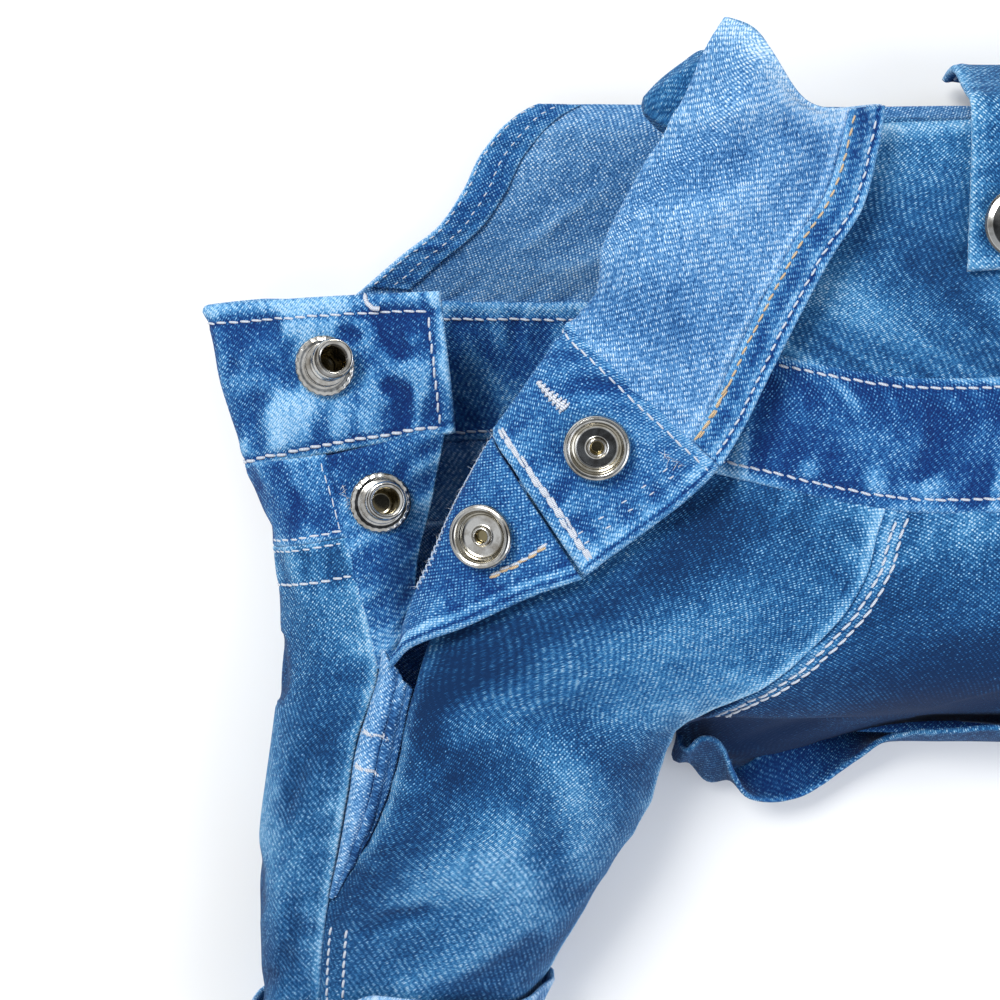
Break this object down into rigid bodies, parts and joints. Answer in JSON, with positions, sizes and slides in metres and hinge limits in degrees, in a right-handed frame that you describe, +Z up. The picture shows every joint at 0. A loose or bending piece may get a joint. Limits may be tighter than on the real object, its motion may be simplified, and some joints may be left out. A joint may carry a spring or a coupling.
{
  "type": "baby denim shortalls",
  "caption": "Denim shortalls laid down, one side unsnapped with its front turned back, waistband, bib, straps and rolled cuffs.",
  "frame": {"origin": "on the floor under the centre of the back waist seam, on the flat underside of the back yoke", "axes": "+X towards the wearer's left, +Y up the garment from the legs to the bib, +Z up from the floor"},
  "size_m": [0.3182, 0.2677, 0.0564],
  "materials": {
    "washed_denim": "stone-washed cotton twill, mid blue with pale edges",
    "denim_reverse": "pale reverse of the same twill",
    "gathered_denim": "doubled and gathered twill, darker in its puckers",
    "nickel": "nickel-plated brass, slightly worn"
  },
  "bodies": {
    "root": {"back_yoke": "washed_denim", "back_leg_right": "washed_denim", "back_leg_left": "washed_denim", "back_waistband": "gathered_denim", "back_bib": "denim_reverse", "back_facing_right": "gathered_denim", "back_facing_left": "gathered_denim", "back_underlap_right": "gathered_denim", "front_waistband": "gathered_denim", "front_bib": "washed_denim", "front_facing_right": "gathered_denim", "front_leg_right": "washed_denim", "front_leg_left": "washed_denim", "front_placket_right": "gathered_denim", "front_bib_fold": "washed_denim", "side_strip_right": "denim_reverse", "cuff_right": "denim_reverse", "cuff_left": "denim_reverse", "strap_right": "washed_denim", "strap_left": "washed_denim", "snap_stud_upper": "nickel", "snap_stud_lower": "nickel", "snap_socket_upper": "nickel", "snap_socket_lower": "nickel", "snap_cap_upper": "nickel", "snap_cap_lower": "nickel", "snap_cap_strap_right": "nickel", "snap_cap_strap_left": "nickel"}
  },
  "joints": []
}
